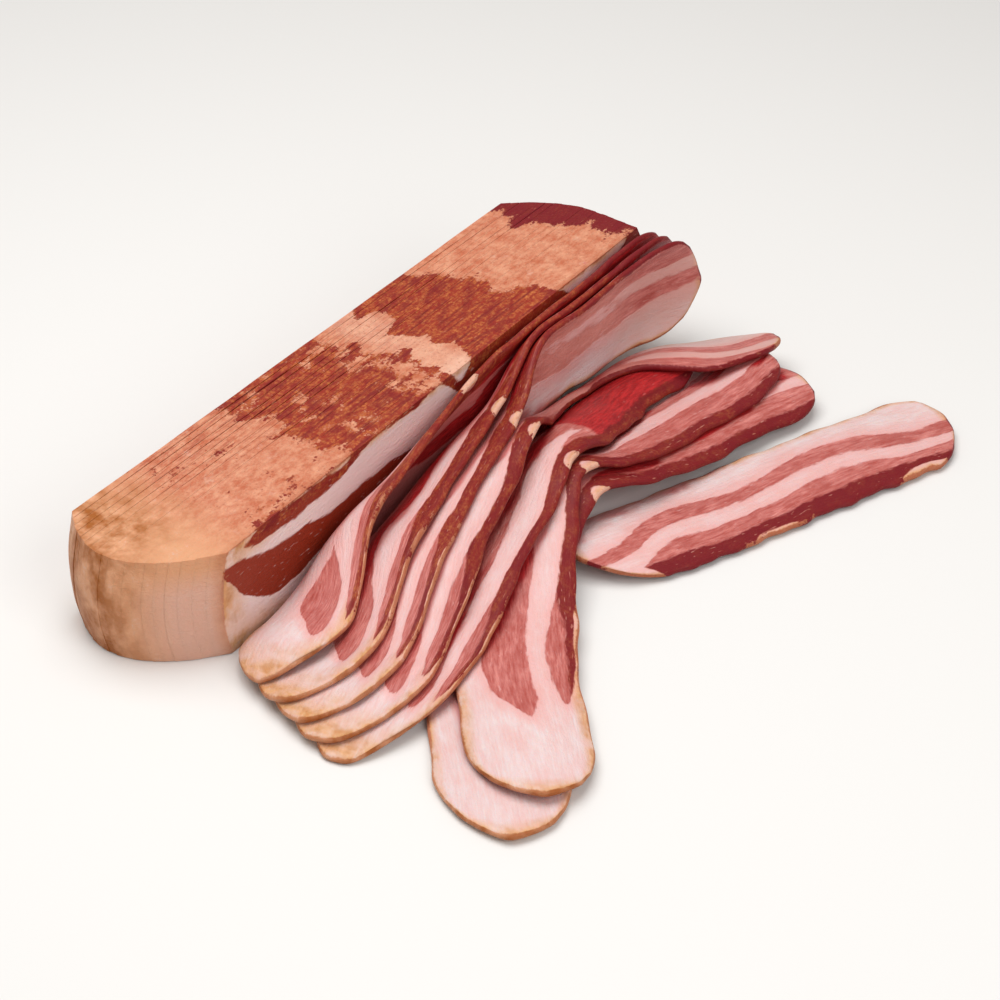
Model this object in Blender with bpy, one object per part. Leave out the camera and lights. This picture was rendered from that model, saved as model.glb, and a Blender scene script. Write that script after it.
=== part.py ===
"""A slab of thick-cut streaky bacon, sliced right through.

Nineteen slices still stand side by side on their fat edge as a slab. Eight more have
left its front: five fan out like the pages of a book, two lie bent under them and one
lies flat in front. Every slice is a solid of its own.

Slab frame: +X runs along the slices, from the smoked end to the cut end, +Y from the
fan to the back of the slab, +Z up from the surface that everything lies on.
"""
import math
import bmesh
import bpy
import numpy as np
from mathutils import Vector
from mathutils.bvhtree import BVHTree

MM = 0.001

# Slices, in millimetres
THICK = 2.6
CLEAR = 0.7
FLOOR = 0.5 * THICK

# The standing slab, in millimetres
SLAB_SLICES = 19
SLAB_LENGTH = 250.0
FIRST_Y_SMOKED_END = 1.6
FIRST_Y_CUT_END = 10.5
PITCH_SMOKED_END = 3.25
PITCH_CUT_END = 3.05
TOP_SMOKED_END = 44.0
TOP_CUT_END = 56.5
LIFT_FRONT = 13.0
LIFT_START = 160.0
LIFT_FULL = 196.0
LIFT_DEPTH = 24.0

# The bulging ends of the slab: where its slices start and stop, and how far the
# front and the rear of each end stand back, in millimetres
SMOKED_END = -14.0
SMOKED_WAIST = 40.0
SMOKED_FRONT_SET = 34.0
SMOKED_REAR_SET = 9.0
SMOKED_REAR_DEPTH = 22.0
CUT_END = 274.0
CUT_REAR_FROM = 25.0
CUT_REAR_SET = 21.0
CUT_REAR_DEPTH = 42.0
UNEVEN_END = 1.6
UNEVEN_TOP = 0.7
WAVE_LENGTH = 31.0

# Slice ends: cut of the fat corner, cut of the lean corner, belly of the middle,
# in millimetres
STANDING_SMOKED = (2.0, 3.0, 1.5)
STANDING_CUT = (17.0, 3.0, 6.0)
PAGE_SMOKED = (12.0, 28.0, 9.0)
LOOSE_CUT = (16.0, 3.0, 5.0)
UPPER_SMOKED = (8.0, 8.0, 4.0)
LOWER_SMOKED = (12.0, 10.0, 5.0)
FRONT_SMOKED = (9.0, 24.0, 3.0)
FRONT_CUT = (6.0, 5.0, 4.0)

# Slice widths at u millimetres along the slice
EVEN_WIDTH = [(0, 44.5), (280, 48)]
FRONT_WIDTH = [(0, 46), (180, 46)]
TORN_WIDTH = [(0, 44.5), (150, 46), (180, 34), (210, 26), (235, 24), (262, 29), (295, 23)]

# How many points a slice has along and across
SLAB_GRID = (11, 4)
LOOSE_GRID = (30, 6)

# How the loose slices are eased apart, lengths in millimetres
SETTLE_ROUNDS = 110
CALM_ROUNDS = 50
RECHECK_EVERY = 6
REACH = 9.0
LONGEST_STEP = 1.2
STEP_SHARE = 0.8
EVENING_FIRST = 0.25
EVENING_CALM = 0.05
NEAR_ROWS = 6


def blend(a, b, t):
    """The value a share t of the way from a to b."""
    return a + (b - a) * t


def ease(t):
    """A share from 0 to 1 that starts and ends gently."""
    t = np.clip(t, 0.0, 1.0)
    return t * t * (3.0 - 2.0 * t)


def slab_y(row, x):
    """Where slice number row of the slab stands at x. Rows below 0 are in front of it."""
    along = x / SLAB_LENGTH
    first = blend(FIRST_Y_SMOKED_END, FIRST_Y_CUT_END, along)
    return first + row * blend(PITCH_SMOKED_END, PITCH_CUT_END, along)


def slab_top(x):
    """Height of the lean edge of a standing slice."""
    return blend(TOP_SMOKED_END, TOP_CUT_END, x / SLAB_LENGTH)


def slab_bottom(x, y):
    """Height of the fat edge of a standing slice, which rides up over the fourth page."""
    along = ease((x - LIFT_START) / (LIFT_FULL - LIFT_START))
    across = np.clip(1.0 - y / LIFT_DEPTH, 0.0, 1.0)
    return FLOOR - 0.5 * THICK + LIFT_FRONT * along * across


def slab_ends(y):
    """Smoked end and cut end of a standing slice at depth y: both ends of the slab bulge."""
    front = SMOKED_FRONT_SET * ((SMOKED_WAIST - y) / SMOKED_WAIST) ** 2
    rear = SMOKED_REAR_SET * ((y - SMOKED_WAIST) / SMOKED_REAR_DEPTH) ** 2
    smoked = SMOKED_END + (front if y < SMOKED_WAIST else rear)
    cut = CUT_END - CUT_REAR_SET * (max(y - CUT_REAR_FROM, 0.0) / CUT_REAR_DEPTH) ** 2
    return smoked, cut


def through(stations, u):
    """A smooth curve through stations (u, value...), read at u."""
    known = np.array([s[0] for s in stations], float)
    value = np.array([np.hstack(s[1:]) for s in stations], float)
    slope = np.gradient(value, known, axis=0)
    i = np.clip(np.searchsorted(known, u) - 1, 0, len(known) - 2)
    step = (known[i + 1] - known[i])[..., None]
    t = (np.asarray(u) - known[i])[..., None] / step
    h00 = 2 * t**3 - 3 * t**2 + 1
    h10 = t**3 - 2 * t**2 + t
    h01 = -2 * t**3 + 3 * t**2
    h11 = t**3 - t**2
    inside = h00 * value[i] + h10 * step * slope[i] + h01 * value[i + 1] + h11 * step * slope[i + 1]
    before = value[0] + slope[0] * (np.asarray(u) - known[0])[..., None]
    after = value[-1] + slope[-1] * (np.asarray(u) - known[-1])[..., None]
    u = np.asarray(u)[..., None]
    return np.where(u < known[0], before, np.where(u > known[-1], after, inside))


def half_turn(ratio):
    """Half the turn of an arc whose chord is ratio times its length."""
    x = np.sqrt(6.0 * np.clip(1.0 - ratio, 1e-6, None))
    for _ in range(6):
        x = x - (np.sin(x) / x - ratio) / ((x * np.cos(x) - np.sin(x)) / x**2)
    return x


def sheet_point(stations, width, u, v):
    """Middle surface of a slice: across it, an arc as long as the slice is wide.

    A station gives the fat edge and the lean edge at u millimetres along the slice.
    Where they are closer than the width, the slice arches up between them.
    """
    rails = through(stations, u)
    ahead = through(stations, np.asarray(u) + 1.0) - rails
    fat, lean = rails[..., :3], rails[..., 3:]
    chord = lean - fat
    length = np.linalg.norm(chord, axis=-1, keepdims=True)
    chord = chord / length
    heading = ahead[..., :3] + ahead[..., 3:]
    fatward = np.stack([-heading[..., 1], heading[..., 0], np.zeros_like(heading[..., 0])], -1)
    fatward = fatward / np.linalg.norm(fatward, axis=-1, keepdims=True)
    rise = fatward + np.array([0.0, 0.0, 1.0])
    rise = rise - chord * np.sum(rise * chord, -1, keepdims=True)
    rise = rise / np.linalg.norm(rise, axis=-1, keepdims=True)
    wide = np.asarray(width)[..., None]
    half = half_turn(np.minimum(length / wide, 0.9995))
    radius = np.maximum(wide, length) / (2.0 * half)
    turn = half * (2.0 * np.asarray(v)[..., None] - 1.0)
    along = 0.5 * length + radius * np.sin(turn)
    up = radius * (np.cos(turn) - np.cos(half))
    return fat + chord * along + rise * up


def round_end(v, fat_cut, lean_cut, belly):
    """How far the end of a slice is cut back at v: corners by their cuts, middle bulging."""
    fat = np.clip(1.0 - v / 0.55, 0.0, 1.0) ** 2
    lean = np.clip((v - 0.45) / 0.55, 0.0, 1.0) ** 2
    return fat_cut * fat + lean_cut * lean - belly * np.sin(math.pi * v)


class Slice:
    """One slice: its name and its middle surface as a grid of points."""

    def __init__(self, name, grid):
        self.name = name
        self.grid = grid


def standing_slice(row):
    """A slice that still stands in the slab."""
    along, across = SLAB_GRID
    rng = np.random.default_rng(100 + row)
    nudge = rng.uniform(-1.0, 1.0, 4)
    middle = float(slab_y(row, 0.5 * SLAB_LENGTH))
    smoked, cut = slab_ends(middle)
    v = np.linspace(0.0, 1.0, across)[None, :]
    start = smoked + UNEVEN_END * nudge[0] + round_end(v, *STANDING_SMOKED)
    stop = cut + UNEVEN_END * nudge[1] - round_end(v, *STANDING_CUT)
    share = np.linspace(0.0, 1.0, along)[:, None]
    x = blend(start, stop, share)
    y = slab_y(row, x)
    low = slab_bottom(x, y)
    high = slab_top(x) + UNEVEN_TOP * nudge[2] * np.sin(x / WAVE_LENGTH + 3.0 * nudge[3])
    z = blend(low, high, v + 0.0 * x)
    return Slice(f"slab_slice_{row + 1:02d}", np.stack([x, y, z], -1))


# Loose slices: stations of u, fat edge (x, y, z) and lean edge (x, y, z), in millimetres.
PAGE_FIRST = [
    (0, (8, -2, 2), (14, -45, 10)),
    (45, (50, 0, 2), (46, -34, 20)),
    (72, (77, 1, 2), (73, -19, 37)),
    (100, (102, 2, 2), (98, -13, 42)),
    (128, (129, 3, 2), (127, -5, 45)),
    (156, (157, 4, 2), (157, 3, 48)),
]
PAGE_LAST = [
    (0, (-6, -46, 2), (8, -88, 2)),
    (45, (42, -38, 2), (50, -80, 8)),
    (72, (70, -31, 2), (76, -74, 14)),
    (100, (98, -23, 2), (102, -64, 19)),
    (128, (128, -16, 2), (133, -55, 23)),
    (156, (157, -13, 2), (161, -46, 29)),
]
PAGE_FOOT_SHARES = (0.0, 0.25, 0.5, 0.75, 1.0)
PAGE_TIP_SHARES = (0.0, 0.37, 0.62, 0.85, 1.0)
PAGE_BACK_SHARES = (0.0, 0.29, 0.46, 0.62, 1.0)
PAGE_FLARE = (3.0, 6.5, 11.0)
PAGE_ROOM = 1.2
PAGE_STANDS_AT = (190.0, 215.0, 243.0, 280.0)

FOURTH_PAGE_REST = [
    (180, (181, 3, 2), (179, -19, 21)),
    (205, (206, 13, 2), (205, -9, 12)),
    (228, (233, 13, 4), (226, -11, 12)),
    (250, (258, -1, 7), (241, -24, 13)),
    (270, (275, -18, 7), (253, -42, 15)),
    (300, (297, -31, 6), (288, -54, 14)),
]
FIFTH_PAGE_REST = [
    (180, (184, -6, 2), (186, -42, 16)),
    (205, (208, 3, 2), (208, -36, 5)),
    (230, (232, 6, 2), (232, -33, 5)),
    (255, (254, 4, 2), (257, -36, 8)),
]
BENT_UPPER = [
    (-6, (9, -117, 5), (36, -151, 3)),
    (40, (48, -76, 5), (77, -110, 5)),
    (80, (79, -51, 4), (108, -85, 8)),
    (118, (118, -26, 3), (140, -61, 18)),
    (148, (150, -16, 2), (158, -52, 26)),
    (178, (180, -18, 2), (177, -59, 22)),
    (215, (217, -21, 2), (213, -62, 16)),
    (250, (252, -20, 3), (249, -64, 11)),
    (280, (283, -16, 3), (282, -61, 9)),
]
BENT_LOWER = [
    (-4, (-9, -116, 2), (19, -155, 2)),
    (45, (34, -76, 2), (62, -112, 2)),
    (85, (66, -50, 2), (95, -84, 5)),
    (125, (112, -31, 2), (136, -64, 13)),
    (155, (150, -21, 2), (160, -60, 19)),
    (185, (182, -24, 2), (182, -67, 14)),
    (220, (217, -28, 2), (214, -72, 9)),
    (255, (252, -32, 2), (248, -76, 7)),
    (285, (284, -38, 2), (277, -83, 6)),
]
FLAT_FRONT = [
    (0, (137, -46, 2), (125, -87, 2)),
    (60, (187, -63, 2), (172, -106, 2)),
    (120, (246, -82, 2), (228, -124, 2)),
    (180, (312, -106, 2), (284, -143, 2)),
]


def page_stations(number):
    """Stations of page 0 to 4: the smoked ends fan out evenly from the first to the last page."""
    fan = []
    for first, last in zip(PAGE_FIRST, PAGE_LAST):
        along = first[0] / PAGE_FIRST[-1][0]
        share = blend(PAGE_TIP_SHARES[number], PAGE_BACK_SHARES[number], along)
        fat = blend(np.array(first[1], float), np.array(last[1], float), PAGE_FOOT_SHARES[number])
        lean = blend(np.array(first[2], float), np.array(last[2], float), share)
        fan.append((first[0], fat, lean))
    if number == 3:
        return fan + FOURTH_PAGE_REST
    if number == 4:
        return fan + FIFTH_PAGE_REST
    row = -PAGE_ROOM * (1.0 + number)
    for x in PAGE_STANDS_AT:
        flare = PAGE_FLARE[number] * ease((x - 225.0) / 60.0)
        y = slab_y(row, x) - flare
        low = slab_bottom(x, y)
        fan.append((x, np.array((x, y - flare, low)), np.array((x, y, slab_top(x) - 0.5))))
    return fan


def loose_slice(name, stations, smoked, cut, width):
    """A slice that has left the slab, laid along its stations."""
    along, across = LOOSE_GRID
    start, stop = stations[0][0], stations[-1][0]
    v = np.linspace(0.0, 1.0, across)[None, :]
    first = start + round_end(v, *smoked)
    last = stop - round_end(v, *cut)
    u = blend(first, last, np.linspace(0.0, 1.0, along)[:, None])
    wide = through([(s, w) for s, w in width], u)[..., 0]
    grid = sheet_point(stations, wide, u, v + 0.0 * u)
    return Slice(name, grid)


def loose_slices():
    """The eight slices in front of the slab, from the lowest to the highest."""
    low = [
        loose_slice("front_slice", FLAT_FRONT, FRONT_SMOKED, FRONT_CUT, FRONT_WIDTH),
        loose_slice("bent_slice_lower", BENT_LOWER, LOWER_SMOKED, LOOSE_CUT, EVEN_WIDTH),
        loose_slice("bent_slice_upper", BENT_UPPER, UPPER_SMOKED, LOOSE_CUT, EVEN_WIDTH),
    ]
    pages = []
    for number in range(5):
        name = f"fan_slice_{number + 1}"
        width = TORN_WIDTH if number == 3 else EVEN_WIDTH
        pages.append(loose_slice(name, page_stations(number), PAGE_SMOKED, LOOSE_CUT, width))
    return low + pages[::-1]


def normals(grid):
    """Unit normals of a grid, pointing to the slice's upper side."""
    along = np.gradient(grid, axis=0)
    across = np.gradient(grid, axis=1)
    n = np.cross(across, along)
    n = n / np.linalg.norm(n, axis=-1, keepdims=True)
    return n


def grid_triangles(shape):
    """Triangles of a grid of points, every cell split the same way."""
    rows, cols = shape
    tris = []
    for i in range(rows - 1):
        for j in range(cols - 1):
            a = i * cols + j
            b = a + 1
            c = a + cols
            d = c + 1
            tris += [(a, c, d), (a, d, b)]
    return tris


def tree_of(grid):
    """A search tree over the triangles of a grid."""
    points = [Vector(p) for p in grid.reshape(-1, 3)]
    return BVHTree.FromPolygons(points, grid_triangles(grid.shape[:2]))


def smooth_shift(shift):
    """Spread a shift of the grid points over their neighbours."""
    padded = np.pad(shift, ((1, 1), (1, 1), (0, 0)), mode="edge")
    near = padded[:-2, 1:-1] + padded[2:, 1:-1] + padded[1:-1, :-2] + padded[1:-1, 2:]
    return 0.4 * shift + 0.15 * near


def pushes(points, grid, need, side_sign):
    """For each point too near a slice: its index, the near cell's corners and the push."""
    tree = tree_of(grid)
    cells = grid_triangles(grid.shape[:2])
    n_grid = normals(grid).reshape(-1, 3)
    for k, point in enumerate(points.reshape(-1, 3)):
        hit, _, face, gap = tree.find_nearest(Vector(point), REACH)
        if hit is None:
            continue
        corner = list(cells[face])
        n = n_grid[corner].mean(axis=0)
        n = side_sign * n / np.linalg.norm(n)
        away = point - np.array(hit)
        side = float(away @ n)
        if side >= 0.0 and gap >= need:
            continue
        if side < 0.3 * need:
            yield k, corner, n * (need - side)
        else:
            yield k, corner, away / gap * (need - gap)


def push_apart(upper, lower, share_upper, need):
    """Shifts that bring two neighbouring slices back to their least distance."""
    shift_u = np.zeros_like(upper.grid)
    shift_l = np.zeros_like(lower.grid)
    flat_u = shift_u.reshape(-1, 3)
    flat_l = shift_l.reshape(-1, 3)
    for k, corner, push in pushes(upper.grid, lower.grid, need, 1.0):
        flat_u[k] += push * share_upper
        flat_l[corner] -= push * (1.0 - share_upper) / 3.0
    for k, corner, push in pushes(lower.grid, upper.grid, need, -1.0):
        flat_l[k] += push * (1.0 - share_upper)
        flat_u[corner] -= push * share_upper / 3.0
    return shift_u, shift_l


def settle(loose, slab):
    """Ease the loose slices apart until none touches another, the slab or the floor."""
    count = len(loose)
    pieces = loose + slab[:NEAR_ROWS]
    pairs = [(low, high) for low in range(count) for high in range(low + 1, count + NEAR_ROWS)]
    starts = [s.grid.copy() for s in loose]
    need = THICK + CLEAR
    busy = {}
    for step in range(SETTLE_ROUNDS):
        shifts = [np.zeros_like(s.grid) for s in pieces]
        for low, high in pairs:
            if not busy.get((low, high), True) and step % RECHECK_EVERY:
                continue
            share = 0.5 if high < count else 0.0
            up, down = push_apart(pieces[high], pieces[low], share, need)
            busy[(low, high)] = bool(np.any(down) or np.any(up))
            shifts[high] += up
            shifts[low] += down
        calm = step >= SETTLE_ROUNDS - CALM_ROUNDS
        for piece, start, shift in zip(loose, starts, shifts):
            shift = np.clip(shift, -LONGEST_STEP, LONGEST_STEP)
            moved = piece.grid - start + STEP_SHARE * smooth_shift(shift)
            moved = blend(moved, smooth_shift(moved), EVENING_CALM if calm else EVENING_FIRST)
            piece.grid = start + moved
            piece.grid[..., 2] = np.maximum(piece.grid[..., 2], FLOOR)


def skins(grid):
    """The upper and the lower face of a slice."""
    half = 0.5 * THICK * normals(grid)
    return (grid + half).reshape(-1, 3), (grid - half).reshape(-1, 3)


def solid_mesh(name, grid, offset):
    """A closed slice of even thickness round a grid of points."""
    rows, cols = grid.shape[:2]
    upper, lower = skins(grid)
    bm = bmesh.new()
    top = [bm.verts.new((p - offset) * MM) for p in upper]
    under = [bm.verts.new((p - offset) * MM) for p in lower]
    for a, b, c in grid_triangles((rows, cols)):
        bm.faces.new((top[a], top[b], top[c]))
        bm.faces.new((under[a], under[c], under[b]))
    rim = [i * cols for i in range(rows)]
    rim += [(rows - 1) * cols + j for j in range(1, cols)]
    rim += [i * cols + cols - 1 for i in range(rows - 2, -1, -1)]
    rim += [j for j in range(cols - 2, 0, -1)]
    for a, b in zip(rim, rim[1:] + rim[:1]):
        bm.faces.new((top[a], under[a], under[b]))
        bm.faces.new((top[a], under[b], top[b]))
    bmesh.ops.recalc_face_normals(bm, faces=bm.faces)
    mesh = bpy.data.meshes.new(name)
    bm.to_mesh(mesh)
    bm.free()
    return mesh


def meat_material():
    """Raw cured pork: pink lean and white fat read as one pale red at this plainness."""
    material = bpy.data.materials.new("streaky bacon")
    material.use_nodes = True
    shader = material.node_tree.nodes["Principled BSDF"]
    shader.inputs["Base Color"].default_value = (0.62, 0.30, 0.26, 1.0)
    shader.inputs["Roughness"].default_value = 0.42
    shader.inputs["Metallic"].default_value = 0.0
    return material


def main():
    """Build every slice of the pile as an object of its own."""
    for old in list(bpy.data.objects):
        bpy.data.objects.remove(old)
    slab = [standing_slice(row) for row in range(SLAB_SLICES)]
    loose = loose_slices()
    settle(loose, slab)
    pieces = slab + loose
    points = np.concatenate([skin for p in pieces for skin in skins(p.grid)])
    low = points.min(axis=0)
    middle = 0.5 * (low + points.max(axis=0))
    offset = np.array([middle[0], middle[1], low[2]])
    home = bpy.data.collections.new("sliced bacon slab")
    bpy.context.scene.collection.children.link(home)
    meat = meat_material()
    for piece in pieces:
        mesh = solid_mesh(piece.name, piece.grid, offset)
        mesh.materials.append(meat)
        home.objects.link(bpy.data.objects.new(piece.name, mesh))
    return pieces, offset


if __name__ == "__main__":
    main()
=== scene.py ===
"""Looks of a slab of thick-cut streaky bacon, sliced right through.

Each slice is laid out again from the same sizes as its solid, then meshed finely with
rounded edges, and carries its place in the uncut slab with it. One set of fat and lean
bands runs through that slab, so that every slice shows its own cut of it.

Lengths are in millimetres until a mesh is made. +X runs along the slab from the smoked
end to the cut end, +Y from the fan to the back, +Z up.
"""
import math
from types import SimpleNamespace

import bmesh
import bpy
import numpy as np
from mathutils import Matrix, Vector
from mathutils.bvhtree import BVHTree

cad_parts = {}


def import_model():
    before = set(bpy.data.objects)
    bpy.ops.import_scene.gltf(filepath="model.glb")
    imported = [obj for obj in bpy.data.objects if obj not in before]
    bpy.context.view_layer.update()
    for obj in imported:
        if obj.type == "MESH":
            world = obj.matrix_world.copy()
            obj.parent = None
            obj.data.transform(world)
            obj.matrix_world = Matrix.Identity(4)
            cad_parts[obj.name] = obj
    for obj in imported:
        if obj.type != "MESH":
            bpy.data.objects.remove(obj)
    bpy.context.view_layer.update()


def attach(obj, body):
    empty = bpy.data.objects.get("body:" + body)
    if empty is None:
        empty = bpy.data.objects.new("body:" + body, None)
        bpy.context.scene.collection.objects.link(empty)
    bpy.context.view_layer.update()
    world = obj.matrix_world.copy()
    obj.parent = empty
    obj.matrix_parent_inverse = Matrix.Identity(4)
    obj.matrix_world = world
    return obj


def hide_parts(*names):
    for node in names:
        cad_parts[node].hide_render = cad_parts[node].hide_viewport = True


MM = 0.001

# Slices
THICK = 2.6
CLEAR = 0.7
FLOOR = 0.5 * THICK

# The standing slab
SLAB_SLICES = 19
SLAB_LENGTH = 250.0
FIRST_Y_SMOKED_END = 1.6
FIRST_Y_CUT_END = 10.5
PITCH_SMOKED_END = 3.25
PITCH_CUT_END = 3.05
TOP_SMOKED_END = 44.0
TOP_CUT_END = 56.5
LIFT_FRONT = 13.0
LIFT_START = 160.0
LIFT_FULL = 196.0
LIFT_DEPTH = 24.0

# The bulging ends of the slab: where its slices start and stop, and how far the
# front and the rear of each end stand back
SMOKED_END = -14.0
SMOKED_WAIST = 40.0
SMOKED_FRONT_SET = 34.0
SMOKED_REAR_SET = 9.0
SMOKED_REAR_DEPTH = 22.0
CUT_END = 274.0
CUT_REAR_FROM = 25.0
CUT_REAR_SET = 21.0
CUT_REAR_DEPTH = 42.0
UNEVEN_END = 1.6
UNEVEN_TOP = 0.7
UNEVEN_SEED = 100
WAVE_LENGTH = 31.0

# Slice ends: cut of the fat corner, cut of the lean corner, belly of the middle
STANDING_SMOKED = (2.0, 3.0, 1.5)
STANDING_CUT = (17.0, 3.0, 6.0)
PAGE_SMOKED = (12.0, 28.0, 9.0)
LOOSE_CUT = (16.0, 3.0, 5.0)
UPPER_SMOKED = (8.0, 8.0, 4.0)
LOWER_SMOKED = (12.0, 10.0, 5.0)
FRONT_SMOKED = (9.0, 24.0, 3.0)
FRONT_CUT = (6.0, 5.0, 4.0)
FAT_CORNER_TO = 0.55
LEAN_CORNER_FROM = 0.45

# Slice widths at u along the slice
EVEN_WIDTH = [(0, 44.5), (280, 48)]
FRONT_WIDTH = [(0, 46), (180, 46)]
TORN_WIDTH = [(0, 44.5), (150, 46), (180, 34), (210, 26), (235, 24), (262, 29), (295, 23)]

# How many points a slice has along and across while it is laid out
SLAB_GRID = (11, 4)
LOOSE_GRID = (30, 6)
# A slice lies flat where its edges are this share of its width apart, or more
FLATTEST = 0.9995

# How the loose slices are eased apart
SETTLE_ROUNDS = 110
CALM_ROUNDS = 50
RECHECK_EVERY = 6
REACH = 9.0
LONGEST_STEP = 1.2
STEP_SHARE = 0.8
STRAIGHT_PUSH = 0.3
EVENING_FIRST = 0.25
EVENING_CALM = 0.05
NEAR_ROWS = 6
OWN_SHARE = 0.4
NEXT_SHARE = 0.15

# How finely a slice is meshed, along and across
SLAB_MESH = (150, 24)
LOOSE_MESH = (210, 44)

# Looks of the cut edges. In the slab a slice nearly fills its pitch, and the slits gape
# along its middle and towards its back: how far, from where and over what length.
SLAB_SLIT = 0.04
SLAB_SLIT_OPEN = 0.26
SLIT_FADE = 0.9
SLIT_GAPE = 0.45
SLIT_WAVES = ((0.6, 23.0, 2.1), (0.4, 9.0, 1.3))
SLIT_MIDDLE = (0.35, 70.0, 125.0, 20.0)
SLIT_BACK = (0.65, 14.0, 40.0)
SLIT_OFF_END = (5.0, 40.0)
LOOSE_LOOKS_THICK = 2.8
SLAB_EDGE = (0.15, 0.99, 0.0)
LOOSE_EDGE = (1.0, 0.66, 0.35)
EDGE_STEPS = 4
LOOSE_WAVE = 0.55
LOOSE_WAVE_SEED = 40
# Turns of the slow and the quick wave of an outline, and the quick one's share: the lean
# edge, the fat edge, the smoked end and the cut end
OUTLINE_WAVES = ((37.0, 83.0, 0.6), (31.0, 71.0, 0.6), (5.0, 12.0, 0.7), (6.0, 14.0, 0.7))
CORNER_REACH = 11.0
CORNER_SHARE = 0.32
TORN_BELOW = 40.0
TORN_SHIFT = 0.35
NUDGE_LOOKS = 0.12
HALF_PITCH = 1.6
SHARP_ANGLE = 35.0

# Painted shade where slices lie close over each other, on a coarser grid
SHADE_GRID = (60, 12)
SHADE_REACH = 14.0
SHADE_RAYS = ((0.0, 0.0), (0.9, 0.0), (-0.9, 0.0), (0.0, 0.9), (0.0, -0.9))
SHADE_ON_SLAB = 0.15

# The floor under the pile, in metres: half its side, and how far it lies below
FLOOR_REACH = 3.0
FLOOR_BELOW = 0.0003

# Lamps aimed at the pile: place and width in metres, and power in watts
LAMPS = {
    "overhead": ((-0.1, 0.2, 1.0), 0.9, 9.7),
    "fill": ((-0.3, -1.0, 0.85), 0.8, 6.4),
}

# The photograph's viewpoint, aimed at a point of the slab
AIM = (127.6, -33.3, 20.0)
VIEW_AZIMUTH = -51.2
VIEW_ELEVATION = 36.0
VIEW_DISTANCE = 1000.0
VIEW_LENS = 95.5
SENSOR_WIDTH = 36.0


def blend(a, b, t):
    """The value a share t of the way from a to b."""
    return a + (b - a) * t


def ease(t):
    """A share from 0 to 1 that starts and ends gently."""
    t = np.clip(t, 0.0, 1.0)
    return t * t * (3.0 - 2.0 * t)


def unit(ways):
    """Ways with a length of 1."""
    return ways / np.linalg.norm(ways, axis=-1, keepdims=True)


def slab_y(row, x):
    """Where slice number row of the slab stands at x. Rows below 0 are in front of it."""
    along = x / SLAB_LENGTH
    first = blend(FIRST_Y_SMOKED_END, FIRST_Y_CUT_END, along)
    return first + row * blend(PITCH_SMOKED_END, PITCH_CUT_END, along)


def slab_top(x):
    """Height of the lean edge of a standing slice."""
    return blend(TOP_SMOKED_END, TOP_CUT_END, x / SLAB_LENGTH)


def slab_bottom(x, y):
    """Height of the fat edge of a standing slice, which rides up over the fourth page."""
    along = ease((x - LIFT_START) / (LIFT_FULL - LIFT_START))
    across = np.clip(1.0 - y / LIFT_DEPTH, 0.0, 1.0)
    return FLOOR - 0.5 * THICK + LIFT_FRONT * along * across


def slab_ends(y):
    """Smoked end and cut end of a standing slice at depth y: both ends of the slab bulge."""
    front = SMOKED_FRONT_SET * ((SMOKED_WAIST - y) / SMOKED_WAIST) ** 2
    rear = SMOKED_REAR_SET * ((y - SMOKED_WAIST) / SMOKED_REAR_DEPTH) ** 2
    smoked = SMOKED_END + (front if y < SMOKED_WAIST else rear)
    cut = CUT_END - CUT_REAR_SET * (max(y - CUT_REAR_FROM, 0.0) / CUT_REAR_DEPTH) ** 2
    return smoked, cut


def through(stations, u):
    """A smooth curve through stations (u, value...), read at u."""
    known = np.array([s[0] for s in stations], float)
    value = np.array([np.hstack(s[1:]) for s in stations], float)
    slope = np.gradient(value, known, axis=0)
    i = np.clip(np.searchsorted(known, u) - 1, 0, len(known) - 2)
    step = (known[i + 1] - known[i])[..., None]
    t = (np.asarray(u) - known[i])[..., None] / step
    h00 = 2 * t**3 - 3 * t**2 + 1
    h10 = t**3 - 2 * t**2 + t
    h01 = -2 * t**3 + 3 * t**2
    h11 = t**3 - t**2
    inside = h00 * value[i] + h10 * step * slope[i] + h01 * value[i + 1] + h11 * step * slope[i + 1]
    before = value[0] + slope[0] * (np.asarray(u) - known[0])[..., None]
    after = value[-1] + slope[-1] * (np.asarray(u) - known[-1])[..., None]
    u = np.asarray(u)[..., None]
    return np.where(u < known[0], before, np.where(u > known[-1], after, inside))


def half_turn(ratio):
    """Half the turn of an arc whose chord is ratio times its length."""
    x = np.sqrt(6.0 * np.clip(1.0 - ratio, 1e-6, None))
    for _ in range(6):
        x = x - (np.sin(x) / x - ratio) / ((x * np.cos(x) - np.sin(x)) / x**2)
    return x


def sheet_point(stations, width, u, v):
    """Middle surface of a slice: across it, an arc as long as the slice is wide.

    A station gives the fat edge and the lean edge at u along the slice. Where they are
    closer than the width, the slice arches up between them.
    """
    rails = through(stations, u)
    ahead = through(stations, np.asarray(u) + 1.0) - rails
    fat, lean = rails[..., :3], rails[..., 3:]
    chord = lean - fat
    length = np.linalg.norm(chord, axis=-1, keepdims=True)
    chord = chord / length
    heading = ahead[..., :3] + ahead[..., 3:]
    fatward = np.stack([-heading[..., 1], heading[..., 0], np.zeros_like(heading[..., 0])], -1)
    fatward = unit(fatward)
    rise = fatward + np.array([0.0, 0.0, 1.0])
    rise = rise - chord * np.sum(rise * chord, -1, keepdims=True)
    rise = unit(rise)
    wide = np.asarray(width)[..., None]
    half = half_turn(np.minimum(length / wide, FLATTEST))
    radius = np.maximum(wide, length) / (2.0 * half)
    turn = half * (2.0 * np.asarray(v)[..., None] - 1.0)
    along = 0.5 * length + radius * np.sin(turn)
    up = radius * (np.cos(turn) - np.cos(half))
    return fat + chord * along + rise * up


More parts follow.
